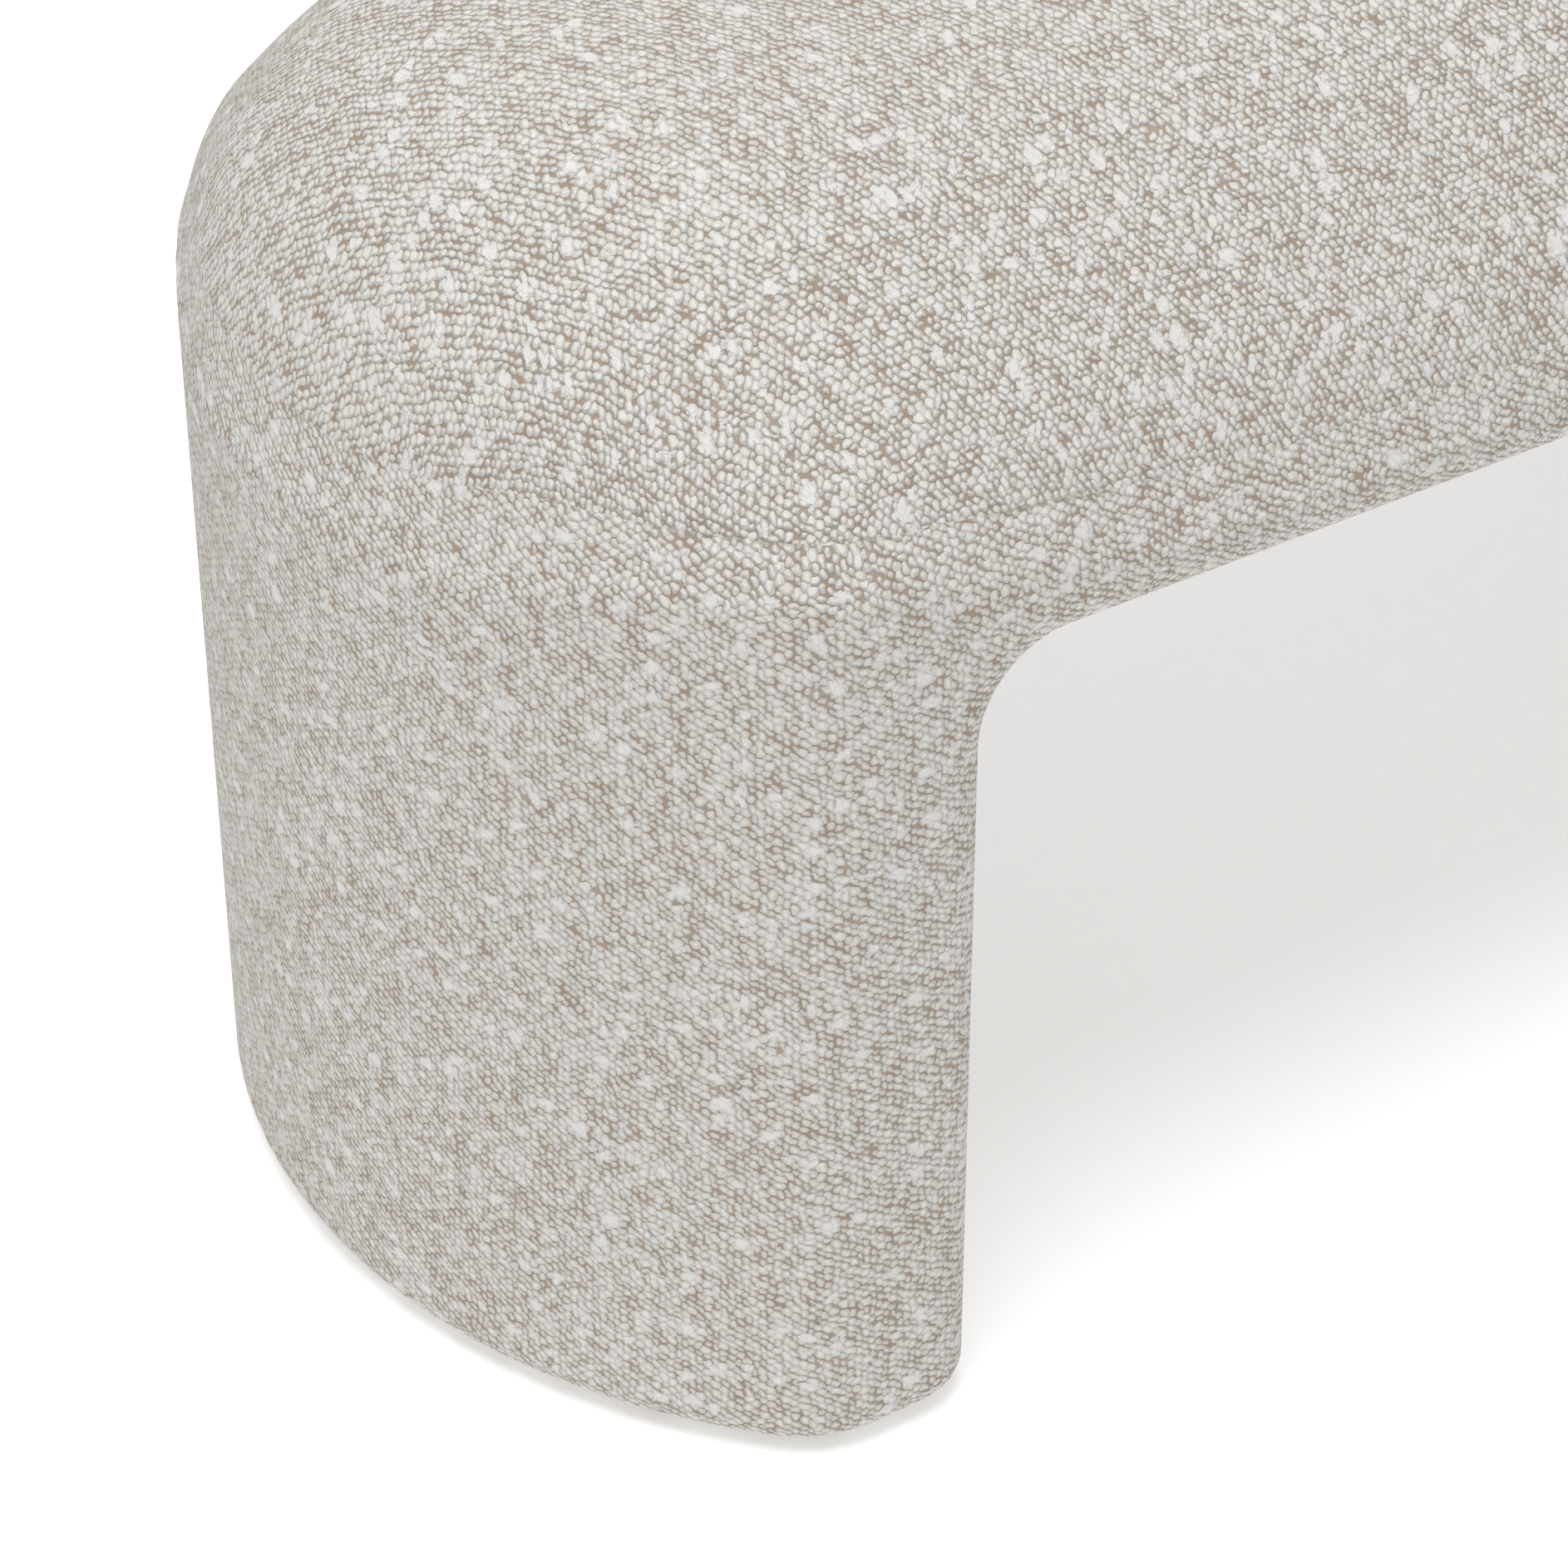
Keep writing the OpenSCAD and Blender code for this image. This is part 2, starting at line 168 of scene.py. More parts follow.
def gradient(p, step=0.0005):
    """Slope of body_distance along each axis; it points outward."""
    g = np.empty_like(p)
    for axis in range(3):
        d = np.zeros(3)
        d[axis] = step
        g[..., axis] = (body_distance(p + d) - body_distance(p - d)) / (2 * step)
    return g


def settle(points, reach, rounds):
    """Move points onto the body, each no further than reach along any axis."""
    low, high = points - reach, points + reach
    for _ in range(rounds):
        g = gradient(points)
        move = g * (body_distance(points) / np.maximum((g * g).sum(1), 1e-9))[:, None]
        points = np.clip(points - move, low, high)
    return points


def relax_strays(points, quads, cell):
    """Bring points that lie far from the middle of their neighbours back to it."""
    steps = np.concatenate([np.stack([quads[:, i], quads[:, (i + 1) % 4]], 1) for i in range(4)])
    total = np.zeros_like(points)
    np.add.at(total, steps[:, 0], points[steps[:, 1]])
    middle = total / np.bincount(steps[:, 0], minlength=len(points))[:, None]
    stray = np.linalg.norm(points - middle, axis=1) > STRAY_SHARE * cell
    points[stray] = middle[stray]
    return points


def surface_net(cell):
    """Quads round the zero of body_distance, one point in each cell that the surface crosses."""
    reach = np.array([HALF_L, HALF_D, SEAT_H / 2]) + 2 * cell
    low = np.array([0.0, 0.0, SEAT_H / 2]) - reach
    counts = np.ceil(2 * reach / cell).astype(int) + 1
    axes = [low[i] + cell * np.arange(counts[i]) for i in range(3)]
    grid = np.stack(np.meshgrid(*axes, indexing="ij"), axis=-1)
    value = body_distance(grid)
    inside = value < 0.0
    corners = [inside[i:counts[0] - 1 + i, j:counts[1] - 1 + j, k:counts[2] - 1 + k]
               for i in (0, 1) for j in (0, 1) for k in (0, 1)]
    filled = sum(c.astype(int) for c in corners)
    crossed = (filled > 0) & (filled < 8)
    index = np.full(crossed.shape, -1)
    index[crossed] = np.arange(crossed.sum())
    cells = np.argwhere(crossed)
    points = settle(low + cell * (cells + 0.5), cell / 2, 8)
    quads = []
    for axis in range(3):
        a, b = [i for i in range(3) if i != axis]
        before = np.take(inside, range(counts[axis] - 1), axis)
        after = np.take(inside, range(1, counts[axis]), axis)
        edges = np.argwhere(before != after)
        edges = edges[(edges[:, a] > 0) & (edges[:, b] > 0)]
        outward = before[tuple(edges.T)]
        ring = []
        for da, db in ((0, 0), (1, 0), (1, 1), (0, 1)):
            at = edges.copy()
            at[:, a] -= da
            at[:, b] -= db
            ring.append(index[tuple(at.T)])
        quad = np.stack(ring, 1)
        turn = outward if axis != 1 else ~outward
        quad[~turn] = quad[~turn][:, ::-1]
        quads.append(quad)
    quads = np.concatenate(quads)
    return relax_strays(points, quads, cell), quads


# ---- Cloth pieces cut from the body surface ----

def cut_along(mesh, field, least_share=0.15):
    """Split the faces of a bmesh along the zero of a field of its points."""
    mesh.verts.ensure_lookup_table()
    value = field(np.array([v.co[:] for v in mesh.verts]))
    on_line = set()
    splits = []
    for edge in mesh.edges:
        a, b = edge.verts
        fa, fb = value[a.index], value[b.index]
        if fa * fb >= 0.0:
            continue
        share = fa / (fa - fb)
        if share < least_share:
            on_line.add(a)
        elif share > 1.0 - least_share:
            on_line.add(b)
        else:
            splits.append((edge, a, share))
    for edge, start, share in splits:
        _, point = bmesh.utils.edge_split(edge, start, share)
        on_line.add(point)
    bmesh.ops.connect_verts(mesh, verts=list(on_line), check_degenerate=True)


def seam_field(p):
    """Height above the seam."""
    return p[..., 2] - seam_height(p[..., 0])


def lining_field(p):
    """Below zero on the inner faces, above zero on the outer ones; zero on the arch edge."""
    return plan_distance(p[..., 0], p[..., 1]) + arch_distance(p[..., 0], p[..., 2])


def body_faces():
    """The whole outside as points and faces, cut along the seam and the edge of the lining."""
    points, quads = surface_net(CELL)
    mesh = bmesh.new()
    verts = [mesh.verts.new(p) for p in points]
    for quad in quads:
        mesh.faces.new([verts[i] for i in quad])
    mesh.verts.index_update()
    cut_along(mesh, seam_field)
    mesh.verts.index_update()
    cut_along(mesh, lining_field)
    mesh.verts.index_update()
    points = settle(np.array([v.co[:] for v in mesh.verts]), CUT_SETTLE, 3)
    faces = [[v.index for v in face.verts] for face in mesh.faces]
    mesh.free()
    return points, faces


def arc_length(p, axis, samples=28):
    """Length over the seat from its middle line to each point, along x or along y."""
    t = np.linspace(0.0, 1.0, samples)
    step = ARC_STEP
    x, y = p[:, 0:1] * np.ones(samples), p[:, 1:2] * np.ones(samples)
    if axis == 0:
        x = p[:, 0:1] * t
        slope = (seat_surface(x + step, y) - seat_surface(x - step, y)) / (2 * step)
    else:
        y = p[:, 1:2] * t
        slope = (seat_surface(x, y + step) - seat_surface(x, y - step)) / (2 * step)
    stretch = np.sqrt(1.0 + np.minimum(np.abs(slope), STEEPEST_ARC) ** 2)
    mean = (stretch[:, 1:] + stretch[:, :-1]).mean(1) / 2
    return p[:, axis] * mean


# Each weave gives places along both threads and the distance from the seam

def top_weave(p, normal, _middle):
    """Across and along the seat, a quarter turn from the side cover."""
    drop = np.maximum(seat_surface(p[:, 0], p[:, 1]) - p[:, 2], 0.0)
    across = arc_length(p, 1) + normal[:, 1] * drop
    along = arc_length(p, 0) + normal[:, 0] * drop
    return np.stack([across, along, np.abs(seam_field(p))], 1)


def side_weave(p, _normal, middle):
    """Round the footprint from the left tip, and up; the weave is cut at the right tip."""
    half = np.where(middle[:, 1] > 0, 1.0, -1.0)
    along = HALF_L - np.abs(p[:, 0])
    across = half * p[:, 1]
    bow = END_R * np.arctan2(across, END_R - along)
    turn = np.arctan2(across - CORNER_Y, CORNER_X - along)
    corner = END_ARC + CORNER_R * (turn - CORNER_ANGLE)
    straight = END_ARC + CORNER_ARC + along - CORNER_X
    in_bow = np.arctan2(across, END_R - along) < CORNER_ANGLE
    walked = np.where(along > CORNER_X, straight, np.where(in_bow, bow, corner))
    half_round = 2 * (END_ARC + CORNER_ARC + HALF_L - CORNER_X)
    walked = np.where(p[:, 0] > 0, half_round - walked, walked)
    return np.stack([-half * walked, p[:, 2], np.abs(seam_field(p))], 1)


def lining_weave(p, _normal, _middle):
    """Along the opening, from the middle of the underside out and down each leg."""
    out = np.abs(p[:, 0]) - (ARCH_HALF - ARCH_R)
    down = ARCH_TOP - ARCH_R - p[:, 2]
    turned = np.arctan2(np.maximum(out, 0.0), np.maximum(-down, 1e-6))
    flat = np.minimum(np.abs(p[:, 0]), ARCH_HALF - ARCH_R)
    along = flat + ARCH_R * turned + np.maximum(down, 0.0)
    far_from_seam = np.ones(len(p))
    return np.stack([p[:, 1], np.sign(p[:, 0]) * along, far_from_seam], 1)


def cloth_piece(name, points, faces, weave, depth, material):
    """A closed pad: the cloth outside, the same shape inside at the given depth, and a rim."""
    used = sorted({i for face in faces for i in face})
    place = {old: new for new, old in enumerate(used)}
    outer = points[used]
    normal = gradient(outer, NORMAL_STEP)
    normal /= np.linalg.norm(normal, axis=1)[:, None]
    inner = outer - normal * depth
    shell = [[place[i] for i in face] for face in faces]
    count = len(used)
    directed = dict.fromkeys((a, b) for face in shell for a, b in zip(face, face[1:] + face[:1]))
    rim = [[b, a, a + count, b + count] for a, b in directed if (b, a) not in directed]
    lining = [[i + count for i in reversed(face)] for face in shell]
    mesh = bpy.data.meshes.new(name)
    mesh.from_pydata(np.concatenate([outer, inner]).tolist(), [], shell + lining + rim)
    mesh.polygons.foreach_set("use_smooth", [True] * len(mesh.polygons))
    directions = np.concatenate([normal, -normal])
    corner = np.zeros(len(mesh.loops), dtype=int)
    mesh.loops.foreach_get("vertex_index", corner)
    corner %= count
    sides = np.zeros(len(mesh.polygons), dtype=int)
    mesh.polygons.foreach_get("loop_total", sides)
    starts = np.concatenate([[0], np.cumsum(sides)[:-1]])
    middle = np.repeat(np.add.reduceat(outer[corner], starts) / sides[:, None], sides, axis=0)
    attribute = mesh.attributes.new("weave", "FLOAT_VECTOR", "CORNER")
    attribute.data.foreach_set("vector", weave(outer[corner], normal[corner], middle).ravel())
    mesh.normals_split_custom_set_from_vertices([tuple(v) for v in directions])
    mesh.materials.append(material)
    piece = bpy.data.objects.new(name, mesh)
    bpy.context.scene.collection.objects.link(piece)
    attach(piece, "root")
    return piece


# ---- Materials ----

class Graph:
    """Short calls for making a material's nodes."""

    def __init__(self, name):
        self.material = bpy.data.materials.new(name)
        self.material.use_nodes = True
        self.nodes = self.material.node_tree.nodes
        self.links = self.material.node_tree.links
        self.shader = self.nodes["Principled BSDF"]

    def feed(self, socket, value):
        if isinstance(value, bpy.types.NodeSocket):
            self.links.new(value, socket)
        elif isinstance(value, tuple) and len(value) == 3 and len(socket.default_value) == 4:
            socket.default_value = (*value, 1.0)
        else:
            socket.default_value = value

    def math(self, operation, *values):
        node = self.nodes.new("ShaderNodeMath")
        node.operation = operation
        for socket, value in zip(node.inputs, values):
            self.feed(socket, value)
        return node.outputs[0]

    def vector(self, operation, *values):
        node = self.nodes.new("ShaderNodeVectorMath")
        node.operation = operation
        for socket, value in zip(node.inputs, values):
            self.feed(socket, value)
        return node.outputs[0]

    def ramp(self, value, low, high, to_low=0.0, to_high=1.0):
        node = self.nodes.new("ShaderNodeMapRange")
        node.interpolation_type = "SMOOTHSTEP"
        for socket, item in zip(node.inputs[:5], (value, low, high, to_low, to_high)):
            self.feed(socket, item)
        return node.outputs[0]

    def mix(self, share, a, b):
        node = self.nodes.new("ShaderNodeMix")
        node.data_type = "RGBA"
        self.feed(node.inputs["Factor"], share)
        self.feed(node.inputs[6], a)
        self.feed(node.inputs[7], b)
        return node.outputs[2]

    def noise(self, place, scale, detail=2.0, roughness=0.5, output="Fac"):
        node = self.nodes.new("ShaderNodeTexNoise")
        self.feed(node.inputs["Vector"], place)
        self.feed(node.inputs["Scale"], scale)
        self.feed(node.inputs["Detail"], detail)
        self.feed(node.inputs["Roughness"], roughness)
        return node.outputs[output]

    def object_place(self):
        return self.nodes.new("ShaderNodeTexCoord").outputs["Object"]

    def split(self, vector):
        node = self.nodes.new("ShaderNodeSeparateXYZ")
        self.feed(node.inputs[0], vector)
        return node.outputs

    def join(self, x, y, z):
        node = self.nodes.new("ShaderNodeCombineXYZ")
        for socket, value in zip(node.inputs, (x, y, z)):
            self.feed(socket, value)
        return node.outputs[0]

    def bump(self, height, distance, strength=1.0):
        node = self.nodes.new("ShaderNodeBump")
        self.feed(node.inputs["Height"], height)
        self.feed(node.inputs["Distance"], distance)
        self.feed(node.inputs["Strength"], strength)
        self.links.new(node.outputs[0], self.shader.inputs["Normal"])

    def set(self, name, value):
        self.feed(self.shader.inputs[name], value)


# The boucle, in metres before LOOP_FINENESS: loops, gaps between them, slubs and seam
LOOP_A = 0.0032
LOOP_B = 0.0019
LOOP_LEAN = 0.24
LOOP_FINENESS = 1.14
LOOP_SKEW = 0.0011
LOOP_SHIFT = 0.0009
LOOP_SPREAD = 0.0011
LOOP_PLUMP = 0.00012
LOOP_REACH = (0.0002, 0.0021)
GAP_REACH = (0.00152, 0.00196)
RIDGE_REACH = 0.00035
CROSSING_REACH = (0.0011, 0.0016)
WEAVE_WANDER = 0.0050
WEAVE_JITTER = 0.0018
NUB_CELL = 0.0105
NUB_WANDER = 0.008
NUB_CHANCE = 0.48
# Reach of the painted shade along the seam crease
PAINTED_SEAM_SHADE_REACH = (0.0002, 0.0014)
GROOVE_REACH = (0.0005, 0.0050)
BOUCLE_RELIEF = 0.0013
WHITE_YARN = (0.745, 0.728, 0.700)
CREAM_YARN = (0.670, 0.635, 0.590)
NUB_YARN = (0.715, 0.700, 0.678)
TAN_THREAD = (0.340, 0.225, 0.130)
# GAP_SHADE is painted shade for the recesses between the loops
GAP_SHADE = (0.150, 0.098, 0.058)
# SEAM_SHADE is painted shade for the crease along the seam
SEAM_SHADE = (0.260, 0.205, 0.155)


def centred(g, value, width):
    """A 0 to 1 value spread evenly about zero over the width."""
    return g.math("MULTIPLY", g.math("SUBTRACT", value, 0.5), width)


def loop_row(g, a, b, shift):
    """Nearness to one of two interleaved sets of leaning loops, with three random numbers each."""
    u = g.math("ADD", g.math("DIVIDE", a, 2 * LOOP_A), shift)
    v = g.math("ADD", g.math("DIVIDE", b, 2 * LOOP_B), shift)
    random = g.nodes.new("ShaderNodeTexWhiteNoise")
    random.noise_dimensions = "3D"
    g.feed(random.inputs["Vector"], g.join(g.math("FLOOR", u), g.math("FLOOR", v), shift))
    size, skew, tone = g.split(random.outputs["Color"])
    du = centred(g, g.math("FRACT", u), 2 * LOOP_A)
    dv = centred(g, g.math("FRACT", v), 2 * LOOP_B)
    du = g.math("ADD", du, centred(g, skew, LOOP_SKEW))
    dv = g.math("ADD", dv, centred(g, tone, LOOP_SHIFT))
    du = g.math("ADD", du, g.math("MULTIPLY", dv, LOOP_LEAN))
    wide = g.math("DIVIDE", du, g.math("ADD", 0.92, g.math("MULTIPLY", skew, 0.30)))
    away = g.math("SQRT", g.math("ADD", g.math("MULTIPLY", wide, wide), g.math("MULTIPLY", dv, dv)))
    return g.math("SUBTRACT", away, centred(g, size, LOOP_SPREAD)), tone


def boucle_material():
    """Plump staggered loops with tan ground threads and painted shade between them, larger white
    slubs, and a painted shade line along the seam.
    """
    g = Graph("boucle")
    place = g.object_place()
    attribute = g.nodes.new("ShaderNodeAttribute")
    attribute.attribute_name = "weave"
    weave = attribute.outputs["Vector"]
    seam = g.split(weave)[2]
    wander = g.vector("SUBTRACT", g.noise(place, 60.0, 2.0, 0.6, "Color"), (0.5, 0.5, 0.5))
    jitter = g.vector("SUBTRACT", g.noise(place, 290.0, 1.0, 0.5, "Color"), (0.5, 0.5, 0.5))
    moved = g.vector("ADD", weave, g.vector("MULTIPLY", wander, (WEAVE_WANDER, WEAVE_WANDER, 0.0)))
    moved = g.vector("ADD", moved, g.vector("MULTIPLY", jitter, (WEAVE_JITTER, WEAVE_JITTER, 0.0)))
    a, b, _ = g.split(g.vector("MULTIPLY", moved, (LOOP_FINENESS, LOOP_FINENESS, 0.0)))
    near_0, tone_0 = loop_row(g, a, b, 0.0)
    near_1, tone_1 = loop_row(g, a, b, 0.5)
    first = g.math("LESS_THAN", near_0, near_1)
    away = g.math("MINIMUM", near_0, near_1)
    ridge = g.math("ABSOLUTE", g.math("SUBTRACT", near_0, near_1))
    tone = g.math("ADD", g.math("MULTIPLY", first, tone_0),
                  g.math("MULTIPLY", g.math("SUBTRACT", 1.0, first), tone_1))

    streak = g.noise(g.vector("MULTIPLY", weave, (1.0, 0.45, 0.0)), 115.0, 3.0, 0.65)
    patch = g.ramp(streak, 0.36, 0.60)
    plump = g.math("MULTIPLY", g.math("SUBTRACT", 1.0, patch), LOOP_PLUMP)
    away = g.math("SUBTRACT", away, plump)
    loop = g.ramp(away, *LOOP_REACH, 1.0, 0.0)
    open_gap = g.ramp(away, *GAP_REACH)
    crossing = g.math("MULTIPLY", g.ramp(ridge, 0.0, RIDGE_REACH, 1.0, 0.0),
                      g.ramp(away, *CROSSING_REACH))
    gap = g.math("MAXIMUM", open_gap, g.math("MULTIPLY", crossing, 0.55))

    nub_place = g.vector("ADD", weave, g.vector("MULTIPLY", wander, (NUB_WANDER, NUB_WANDER, 0.0)))
    nub_place = g.vector("MULTIPLY", nub_place, (1.0, 1.35, 0.0))
    nubs = g.nodes.new("ShaderNodeTexVoronoi")
    g.feed(nubs.inputs["Vector"], nub_place)
    g.feed(nubs.inputs["Scale"], 1.0 / NUB_CELL)
    chance = g.split(nubs.outputs["Color"])
    chosen = g.math("GREATER_THAN", chance[0], NUB_CHANCE)
    size = g.math("ADD", 0.25, g.math("MULTIPLY", chance[1], 0.19))
    reach = g.math("ADD", g.math("DIVIDE", nubs.outputs["Distance"], size),
                   centred(g, g.noise(place, 420.0, 2.0, 0.6), 0.9))
    nub = g.math("MULTIPLY", chosen, g.ramp(reach, 0.55, 1.10, 1.0, 0.0))

    fibre = g.noise(place, 2300.0, 3.0, 0.7)
    mottle = g.noise(place, 230.0, 2.0, 0.6)
    shade = g.math("ADD", g.math("MULTIPLY", tone, 0.45), g.math("MULTIPLY", patch, 0.15))
    shade = g.math("ADD", shade, g.math("MULTIPLY", g.ramp(mottle, 0.35, 0.65), 0.25))
    yarn = g.mix(shade, WHITE_YARN, CREAM_YARN)
    # The gaps between loops, and the loop crossings, are tan ground thread mixed with painted shade
    # (GAP_SHADE); depth is how much of it is laid over the yarn
    thread_and_gap_shade = g.mix(g.ramp(fibre, 0.40, 0.60), TAN_THREAD, GAP_SHADE)
    depth = g.math("MULTIPLY", gap, g.math("ADD", 0.70, g.math("MULTIPLY", patch, 0.12)))
    colour = g.mix(depth, yarn, thread_and_gap_shade)
    colour = g.mix(g.ramp(nub, 0.05, 0.40), colour,
                   g.mix(g.ramp(mottle, 0.4, 0.7), NUB_YARN, WHITE_YARN))
    colour = g.mix(g.math("MULTIPLY", g.ramp(fibre, 0.45, 0.75), 0.16), colour, CREAM_YARN)
    broken = g.ramp(g.noise(place, 22.0, 2.0, 0.6), 0.48, 0.62)
    # A broken dark line along the seam: painted shade of the seam crease
    painted_seam_shade = g.math("MULTIPLY", g.ramp(seam, *PAINTED_SEAM_SHADE_REACH, 1.0, 0.0), broken)
    colour = g.mix(g.math("MULTIPLY", painted_seam_shade, 0.40), colour, SEAM_SHADE)
    g.set("Base Color", colour)
    g.set("Roughness", g.ramp(mottle, 0.3, 0.7, 0.82, 0.95))
    g.set("Specular IOR Level", 0.2)
    g.set("Sheen Weight", 0.12)
    g.set("Sheen Roughness", 0.55)
    g.set("Sheen Tint", (0.95, 0.94, 0.92))

    height = g.math("MAXIMUM", g.math("MULTIPLY", loop, 0.85), g.math("MULTIPLY", nub, 0.90))
    height = g.math("SUBTRACT", height, g.math("MULTIPLY", gap, 0.15))
    height = g.math("ADD", height, g.math("MULTIPLY", fibre, 0.14))
    height = g.math("ADD", height, g.math("MULTIPLY", mottle, 0.35))
    groove = g.ramp(seam, *GROOVE_REACH, 0.35, 1.0)
    g.bump(g.math("ADD", height, groove), BOUCLE_RELIEF)
    return g.material


def grained(name, light, dark, across, rough):
    """Sawn or laminated wood: stretched bands broken by fine grain."""
    g = Graph(name)
    place = g.object_place()
    bands = g.noise(g.vector("MULTIPLY", place, across), 14.0, 5.0, 0.65)
    pores = g.noise(g.vector("MULTIPLY", place, across), 160.0, 2.0, 0.6)
    colour = g.mix(g.ramp(bands, 0.35, 0.68), light, dark)
    colour = g.mix(g.math("MULTIPLY", g.ramp(pores, 0.55, 0.75), 0.35), colour, dark)
    g.set("Base Color", colour)
    g.set("Roughness", g.ramp(bands, 0.3, 0.7, rough - 0.08, rough + 0.08))
    g.bump(pores, 0.0003)
    return g.material


def fluffy(name, light, dark, scale, depth, rough=0.95):
    """Foam, wadding or felted cloth: a speckle of cells or fibres."""
    g = Graph(name)
    place = g.object_place()
    cells = g.nodes.new("ShaderNodeTexVoronoi")
    g.feed(cells.inputs["Vector"], place)
    g.feed(cells.inputs["Scale"], scale)
    fibres = g.noise(place, scale * 0.4, 4.0, 0.7)
    g.set("Base Color", g.mix(g.ramp(fibres, 0.3, 0.7), light, dark))
    g.set("Roughness", rough)
    g.bump(g.math("ADD", cells.outputs["Distance"], fibres), depth)
    return g.material


def plated(name):
    """Zinc plate: faint crystals and a soft shine."""
    g = Graph(name)
    place = g.object_place()
    crystal = g.noise(place, 420.0, 3.0, 0.6)
    g.set("Base Color", g.mix(crystal, (0.58, 0.58, 0.56), (0.76, 0.75, 0.71)))
    g.set("Metallic", 1.0)
    g.set("Roughness", g.ramp(crystal, 0.3, 0.7, 0.28, 0.45))
    g.bump(crystal, 0.00005)
    return g.material


def moulded(name):
    """Dark nylon with a fine spark-eroded texture and scuffed lows."""
    g = Graph(name)
    place = g.object_place()
    texture = g.noise(place, 1800.0, 2.0, 0.6)
    scuff = g.noise(place, 90.0, 4.0, 0.7)
    g.set("Base Color",
          g.mix(g.ramp(scuff, 0.55, 0.75), (0.035, 0.035, 0.036), (0.12, 0.12, 0.12)))
    g.set("Roughness", g.ramp(scuff, 0.3, 0.7, 0.48, 0.66))
    g.bump(texture, 0.00006)
    return g.material


BOUCLE = boucle_material()
SLOT_MATERIALS = {
    "boucle": BOUCLE,
    "timber": grained("sawn_timber", (0.60, 0.41, 0.24), (0.42, 0.27, 0.14), (1.0, 7.0, 7.0), 0.7),
    "plywood": grained("birch_ply", (0.70, 0.54, 0.36), (0.55, 0.39, 0.23), (1.5, 1.5, 16.0), 0.65),
    "foam": fluffy("foam", (0.80, 0.73, 0.52), (0.70, 0.62, 0.42), 900.0, 0.0006),
    "wadding": fluffy("wadding", (0.84, 0.84, 0.82), (0.74, 0.74, 0.72), 350.0, 0.0015),
    "dust_cloth": fluffy("dust_cloth", (0.012, 0.012, 0.013), (0.030, 0.030, 0.032),
                         1500.0, 0.0002),
    "zinc_steel": plated("zinc_plate"),
    "nylon": moulded("nylon"),
}


def dress_frame():
    """Give every carried-over piece the finish of its slot in the record."""
    slots = {part["node"]: part["material_slot"] for part in frame["record"]["subparts"]}
    for node, slot_name in slots.items():
        piece = bpy.data.objects[node]
        piece.data.materials.clear()
        piece.data.materials.append(SLOT_MATERIALS[slot_name])


# ---- The covers ----

# Depth of the cloth with the padding behind it
SEAT_PAD_T = 0.0105
WRAP_PAD_T = 0.0115
LINING_PAD_T = 0.0045


def make_covers():
    """Seat, side and lining pads from one surface, so that their edges meet."""
    points, faces = body_faces()
    middle = np.array([points[face].mean(0) for face in faces])
    above = seam_field(middle) > 0.0
    lining = ~above & (lining_field(middle) < 0.0) & (middle[:, 2] > HEM_Z + HEM_R)
    groups = {"seat": above, "side": ~above & ~lining, "lining": lining}
    chosen = {key: [faces[i] for i in np.flatnonzero(mask)] for key, mask in groups.items()}
    seat = cloth_piece("seat_pad", points, chosen["seat"], top_weave, SEAT_PAD_T, BOUCLE)
    side = cloth_piece("side_pad", points, chosen["side"], side_weave, WRAP_PAD_T, BOUCLE)
    arch = cloth_piece("arch_pad", points, chosen["lining"], lining_weave, LINING_PAD_T, BOUCLE)
    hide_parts("top_cover", "seat_wadding")
    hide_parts("side_cover", "front_apron_foam", "rear_apron_foam", "left_wrap_foam",
                "left_fillet_foam", "right_wrap_foam", "right_fillet_foam")
    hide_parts("arch_lining", "arch_wadding")


# ---- Studio ----

CAMERA_PLACE = Vector((-1.222, -1.239, 1.173))
CAMERA_AZIMUTH = math.radians(-33.70)
CAMERA_ELEVATION = math.radians(34.97)
CAMERA_LENS = 111.6
SENSOR_WIDTH = 36.0
FLOOR_REACH = 40.0
FLOOR_GLOW = 0.36
WORLD_STRENGTH = 0.50
KEY_PLACE, KEY_TARGET = (-1.1, -0.6, 3.4), (-0.4, 0.0, 0.3)
KEY_SIZE, KEY_POWER = 2.0, 78.0


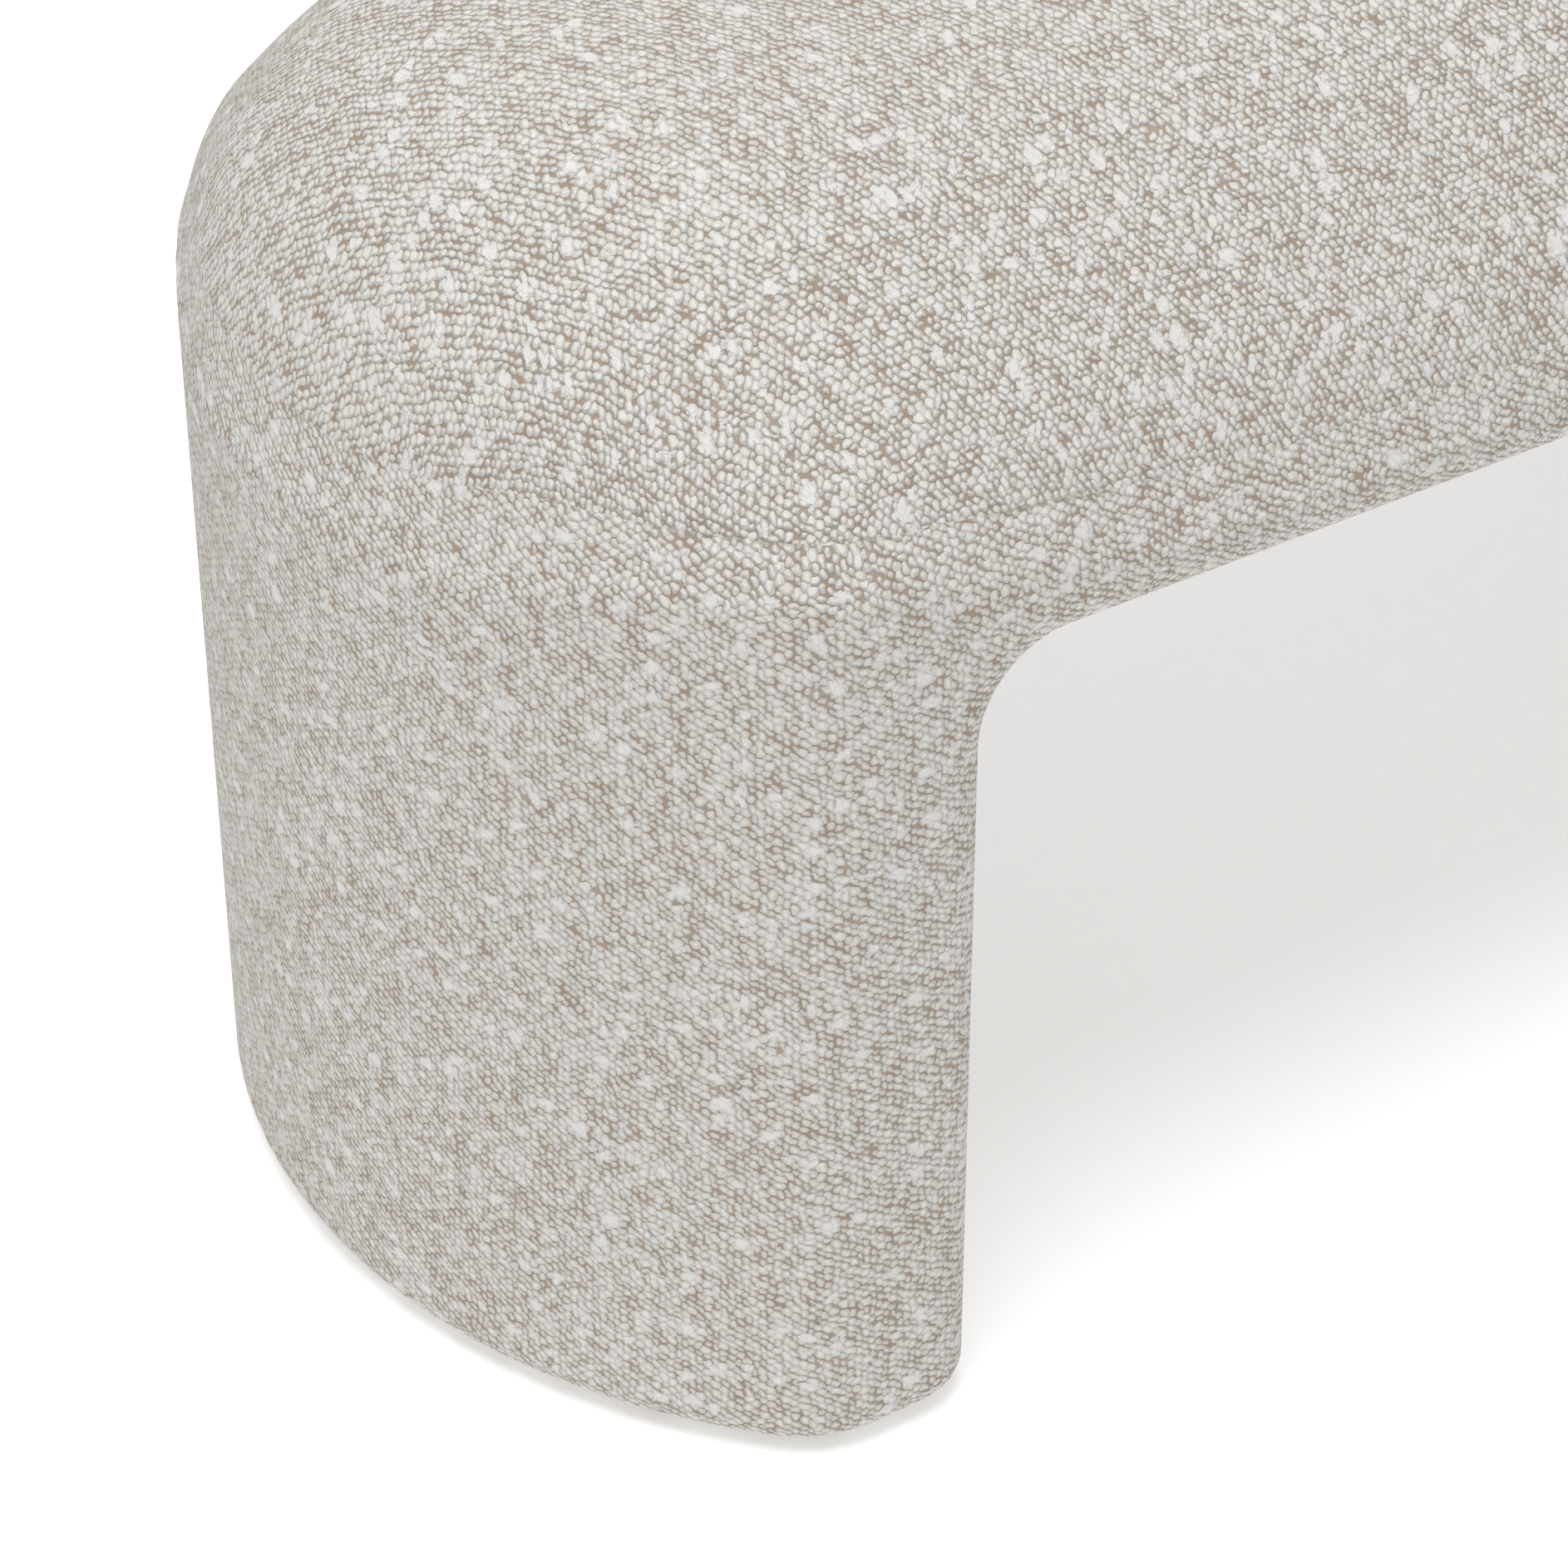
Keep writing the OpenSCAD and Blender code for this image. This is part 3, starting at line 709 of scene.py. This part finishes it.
def make_camera():
    """The view of the photograph."""
    data = bpy.data.cameras.new("camera")
    data.lens = CAMERA_LENS
    data.sensor_width = SENSOR_WIDTH
    camera = bpy.data.objects.new("camera", data)
    flat = math.cos(CAMERA_ELEVATION)
    back = Vector((math.sin(CAMERA_AZIMUTH) * flat, -math.cos(CAMERA_AZIMUTH) * flat,
                   math.sin(CAMERA_ELEVATION)))
    camera.rotation_euler = back.to_track_quat("Z", "Y").to_euler()
    camera.location = CAMERA_PLACE
    bpy.context.scene.collection.objects.link(camera)
    bpy.context.scene.camera = camera


def area_light(name, place, target, size, power):
    """A round white light that faces its target."""
    data = bpy.data.lights.new(name, "AREA")
    data.shape = "DISK"
    data.size = size
    data.energy = power
    light = bpy.data.objects.new(name, data)
    light.location = place
    light.rotation_euler = (Vector(place) - Vector(target)).to_track_quat("Z", "Y").to_euler()
    bpy.context.scene.collection.objects.link(light)


def make_studio():
    """A faintly glowing white floor, an even white world and one large light overhead."""
    mesh = bpy.data.meshes.new("floor")
    corners = [(-1, -1), (1, -1), (1, 1), (-1, 1)]
    mesh.from_pydata([(FLOOR_REACH * x, FLOOR_REACH * y, 0) for x, y in corners], [],
                     [(0, 1, 2, 3)])
    floor = bpy.data.objects.new("floor", mesh)
    g = Graph("studio_floor")
    haze = g.noise(g.object_place(), 1.5, 2.0, 0.5)
    g.set("Base Color", g.mix(haze, (0.86, 0.86, 0.86), (0.88, 0.88, 0.88)))
    g.set("Roughness", 0.9)
    g.set("Emission Color", (1.0, 1.0, 1.0))
    g.set("Emission Strength", FLOOR_GLOW)
    mesh.materials.append(g.material)
    bpy.context.scene.collection.objects.link(floor)
    world = bpy.data.worlds.new("studio")
    world.use_nodes = True
    background = world.node_tree.nodes["Background"]
    background.inputs["Color"].default_value = (1.0, 1.0, 1.0, 1.0)
    background.inputs["Strength"].default_value = WORLD_STRENGTH
    bpy.context.scene.world = world
    bpy.context.scene.view_settings.view_transform = "Standard"
    area_light("key", KEY_PLACE, KEY_TARGET, KEY_SIZE, KEY_POWER)


make_camera()
make_studio()
dress_frame()
make_covers()
